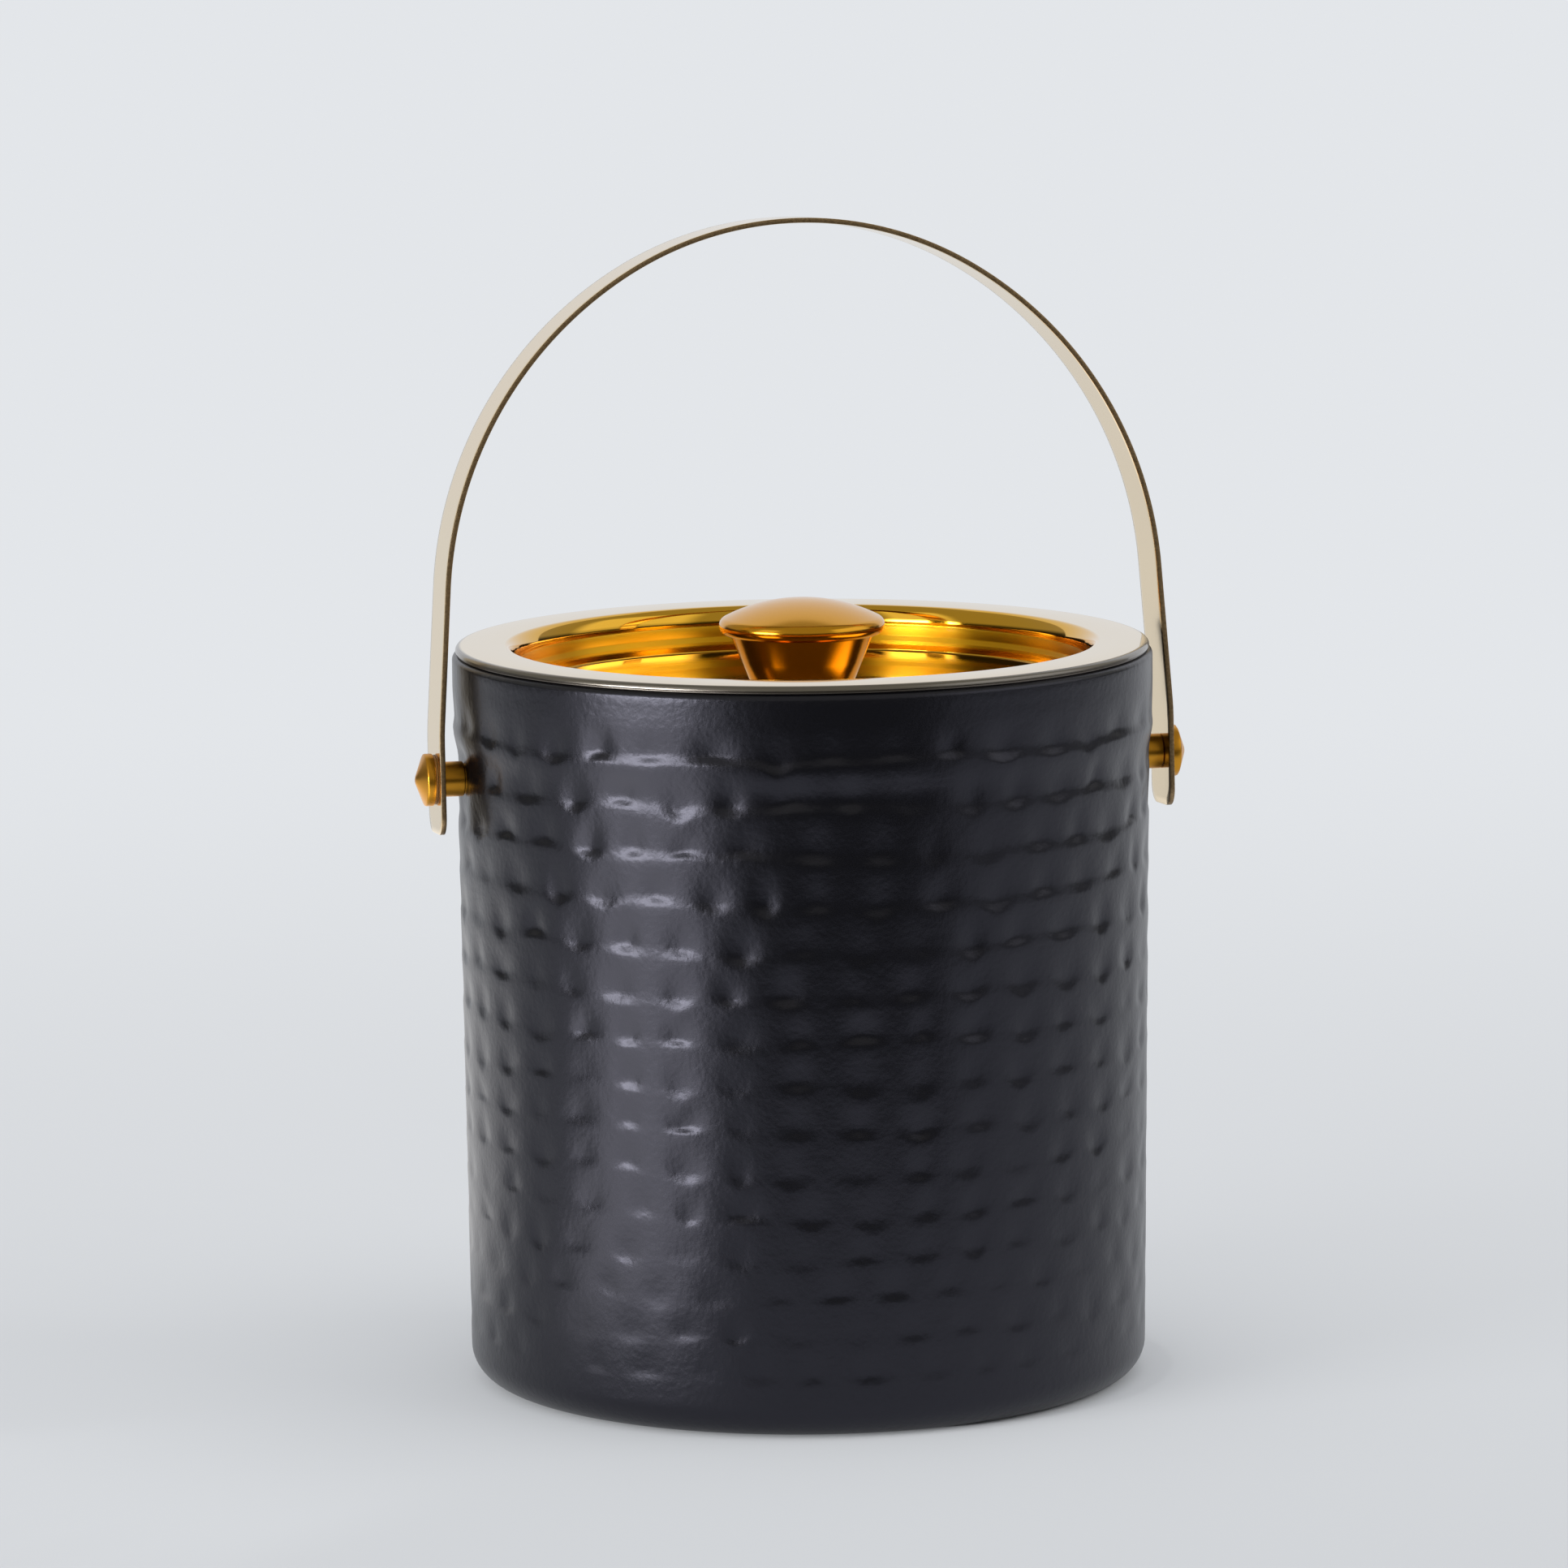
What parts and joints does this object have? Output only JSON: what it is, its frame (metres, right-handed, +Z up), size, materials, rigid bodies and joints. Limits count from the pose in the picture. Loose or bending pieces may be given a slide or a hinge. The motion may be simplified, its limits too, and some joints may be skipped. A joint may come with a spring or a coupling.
{
  "type": "ice bucket",
  "caption": "Double-walled ice bucket with a hammered shell, a hung liner, a lift-off dished lid with a knob, and a swinging strap bail.",
  "frame": {"origin": "centre of the base, on the surface the bucket stands on", "axes": "+Z up along the bucket's axis, +X along the bail's pivot axis"},
  "size_m": [0.169, 0.15, 0.2495],
  "materials": {
    "black_lacquer": "black satin lacquer over hammered steel",
    "gold": "gold-plated steel, mirror polished",
    "satin_gold": "gold-plated, fine turned satin",
    "champagne": "champagne-gold plated steel strip, polished, with darker cut edges",
    "steel": "zinc-plated fasteners",
    "nylon": "black nylon",
    "silicone": "translucent white silicone",
    "foam": "white closed-cell foam"
  },
  "bodies": {
    "bucket": {"outer_shell": "black_lacquer", "inner_liner": "gold", "insulation_pad": "foam", "left_pivot_post": "satin_gold", "right_pivot_post": "satin_gold", "left_cap_screw": "satin_gold", "right_cap_screw": "satin_gold", "left_friction_washer": "nylon", "right_friction_washer": "nylon", "left_wall_screw": "steel", "right_wall_screw": "steel", "left_wall_washer": "steel", "right_wall_washer": "steel", "left_lock_washer": "steel", "right_lock_washer": "steel"},
    "lid": {"lid_dish": "gold", "knob_body": "satin_gold", "knob_cap": "gold", "knob_screw": "steel", "knob_washer": "steel", "knob_seal": "silicone"},
    "bail": {"bail_strap": "champagne"}
  },
  "joints": [
    {"name": "bail_swing", "type": "hinge", "parent": "bucket", "child": "bail", "pos_m": [0, 0, 0.1319], "axis": [1, 0, 0], "range_deg": [-132.7, 139.5]},
    {"name": "lid_lift", "type": "slide", "parent": "bucket", "child": "lid", "axis": [0, 0, 1], "range_m": [0, 0.025]}
  ]
}
